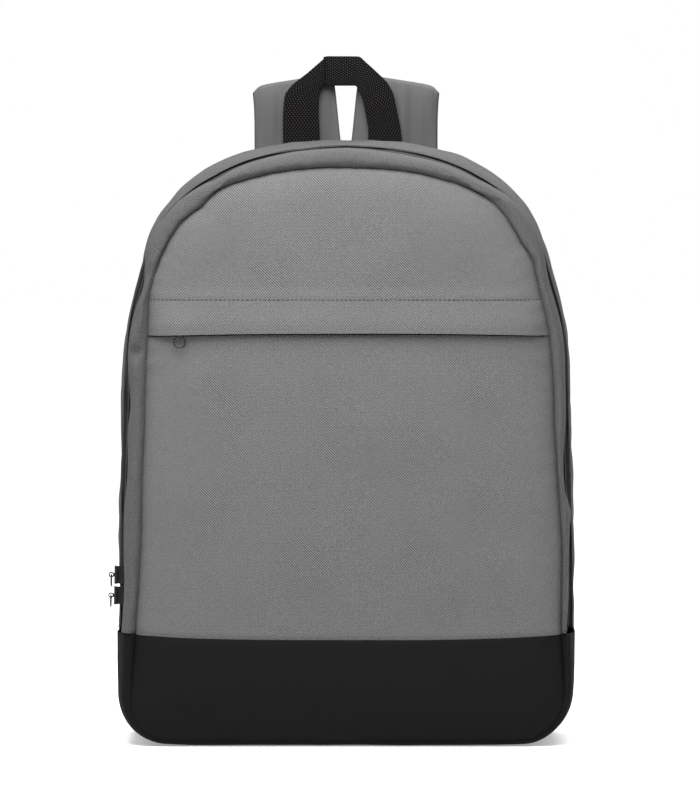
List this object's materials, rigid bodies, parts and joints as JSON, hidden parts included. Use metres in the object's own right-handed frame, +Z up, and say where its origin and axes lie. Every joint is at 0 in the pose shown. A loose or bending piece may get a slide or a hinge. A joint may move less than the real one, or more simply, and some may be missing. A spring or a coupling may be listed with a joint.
{
  "type": "daypack",
  "caption": "Two-tone arched daypack with a zipped main compartment, a flat front pocket under a flap, a webbing grab handle and padded shoulder straps.",
  "frame": {"origin": "on the ground under the middle of the base", "axes": "+Z up, the front faces -Y and the back panel and straps face +Y, +X is the wearer's right"},
  "size_m": [0.3165, 0.1674, 0.461],
  "materials": {
    "grey_fabric": "600D polyester weave, matt",
    "black_fabric": "fine polyester weave, matt",
    "lining_fabric": "thin smooth lining cloth",
    "binding_tape": "woven edge tape",
    "foam": "closed-cell foam, matt",
    "webbing": "ribbed polypropylene webbing",
    "zip_tape": "knitted zip tape",
    "zip_coil": "nylon coil",
    "zip_metal": "gunmetal plating",
    "buckle_plastic": "moulded acetal"
  },
  "bodies": {
    "pack_body": {"back_panel": "grey_fabric", "back_foam": "foam", "back_lining": "lining_fabric", "base_gusset": "black_fabric", "front_base_panel": "black_fabric", "rear_gusset": "grey_fabric", "back_seam_binding": "binding_tape", "base_seam_binding": "binding_tape", "main_zip_rear_tape": "zip_tape", "main_zip_rear_coil": "zip_coil", "left_strap_root_cover": "grey_fabric", "left_strap_root_foam": "foam", "left_strap_root_lining": "grey_fabric", "left_strap_anchor": "grey_fabric", "right_strap_root_cover": "grey_fabric", "right_strap_root_foam": "foam", "right_strap_root_lining": "grey_fabric", "right_strap_anchor": "grey_fabric"},
    "front_shell": {"front_upper_panel": "grey_fabric", "front_pocket_panel": "grey_fabric", "pocket_lining": "lining_fabric", "pocket_zip_flap": "grey_fabric", "front_gusset": "grey_fabric", "front_seam_binding": "binding_tape", "main_zip_front_tape": "zip_tape", "main_zip_front_coil": "zip_coil", "pocket_zip_upper_tape": "zip_tape", "pocket_zip_upper_coil": "zip_coil", "pocket_zip_lower_tape": "zip_tape", "pocket_zip_lower_coil": "zip_coil"},
    "main_slider_upper": {"main_slider_upper": "zip_metal"},
    "main_slider_upper_ring": {"main_slider_upper_ring": "zip_metal"},
    "main_slider_lower": {"main_slider_lower": "zip_metal"},
    "main_slider_lower_ring": {"main_slider_lower_ring": "zip_metal"},
    "pocket_slider": {"pocket_slider": "zip_metal"},
    "pocket_slider_ring": {"pocket_slider_ring": "zip_metal"},
    "grab_handle": {"grab_handle": "webbing"},
    "left_strap": {"left_strap_cover": "grey_fabric", "left_strap_foam": "foam", "left_strap_lining": "grey_fabric", "left_buckle_loop": "webbing"},
    "left_adjuster": {"left_ladder_lock": "buckle_plastic", "left_webbing_tail": "webbing"},
    "left_webbing": {"left_lower_webbing": "webbing"},
    "right_strap": {"right_strap_cover": "grey_fabric", "right_strap_foam": "foam", "right_strap_lining": "grey_fabric", "right_buckle_loop": "webbing"},
    "right_adjuster": {"right_ladder_lock": "buckle_plastic", "right_webbing_tail": "webbing"},
    "right_webbing": {"right_lower_webbing": "webbing"}
  },
  "joints": [
    {"name": "front_open", "type": "hinge", "parent": "pack_body", "child": "front_shell", "pos_m": [0, -0.0613, 0.0749], "axis": [1, 0, 0], "range_deg": [0, 90]},
    {"name": "main_slider_upper_slide", "type": "slide", "parent": "pack_body", "child": "main_slider_upper", "axis": [0.0223, 0, 0.9998], "range_m": [0, 0.13]},
    {"name": "main_slider_upper_ring_swing", "type": "hinge", "parent": "main_slider_upper", "child": "main_slider_upper_ring", "pos_m": [-0.15875, -0.0218, 0.11406], "axis": [-0.0661, 0.9978, 0.0015], "range_deg": [0, 80]},
    {"name": "main_slider_lower_slide", "type": "slide", "parent": "pack_body", "child": "main_slider_lower", "axis": [0.0223, 0, 0.9998], "range_m": [-0.015, 0]},
    {"name": "main_slider_lower_ring_swing", "type": "hinge", "parent": "main_slider_lower", "child": "main_slider_lower_ring", "pos_m": [-0.15906, -0.0218, 0.10007], "axis": [-0.0661, 0.9978, 0.0015], "range_deg": [0, 80]},
    {"name": "pocket_slider_slide", "type": "slide", "parent": "front_shell", "child": "pocket_slider", "axis": [1, 0, 0], "range_m": [0, 0.22]},
    {"name": "pocket_ring_swing", "type": "hinge", "parent": "pocket_slider", "child": "pocket_slider_ring", "pos_m": [-0.1116, -0.06337, 0.27816], "axis": [-1, 0, 0], "range_deg": [0, 80]},
    {"name": "grab_handle_fold", "type": "hinge", "parent": "pack_body", "child": "grab_handle", "pos_m": [-0.002, 0.0585, 0.4049], "axis": [1, 0, 0], "range_deg": [0, 70], "stiffness_Nm_per_rad": 0.02},
    {"name": "left_strap_swing", "type": "hinge", "parent": "pack_body", "child": "left_strap", "pos_m": [-0.0365, 0.076, 0.4405], "axis": [1, 0, 0], "range_deg": [0, 12]},
    {"name": "left_adjuster_tilt", "type": "hinge", "parent": "left_strap", "child": "left_adjuster", "pos_m": [-0.07389, 0.08519, 0.17479], "axis": [0.9461, -0.0516, -0.3197], "range_deg": [0, 30]},
    {"name": "left_webbing_pivot", "type": "hinge", "parent": "pack_body", "child": "left_webbing", "pos_m": [-0.122, 0.0628, 0.036], "axis": [-1, 0, 0], "range_deg": [0, 16.9]},
    {"name": "right_strap_swing", "type": "hinge", "parent": "pack_body", "child": "right_strap", "pos_m": [0.0365, 0.076, 0.4405], "axis": [1, 0, 0], "range_deg": [0, 12]},
    {"name": "right_adjuster_tilt", "type": "hinge", "parent": "right_strap", "child": "right_adjuster", "pos_m": [0.07389, 0.08519, 0.17479], "axis": [0.9461, 0.0516, 0.3197], "range_deg": [0, 30]},
    {"name": "right_webbing_pivot", "type": "hinge", "parent": "pack_body", "child": "right_webbing", "pos_m": [0.122, 0.0628, 0.036], "axis": [-1, 0, 0], "range_deg": [0, 16.9]}
  ],
  "couplings": [
    {"joint": "left_webbing_pivot", "follows": "left_strap_swing", "ratio": 1.4},
    {"joint": "right_webbing_pivot", "follows": "right_strap_swing", "ratio": 1.4}
  ]
}
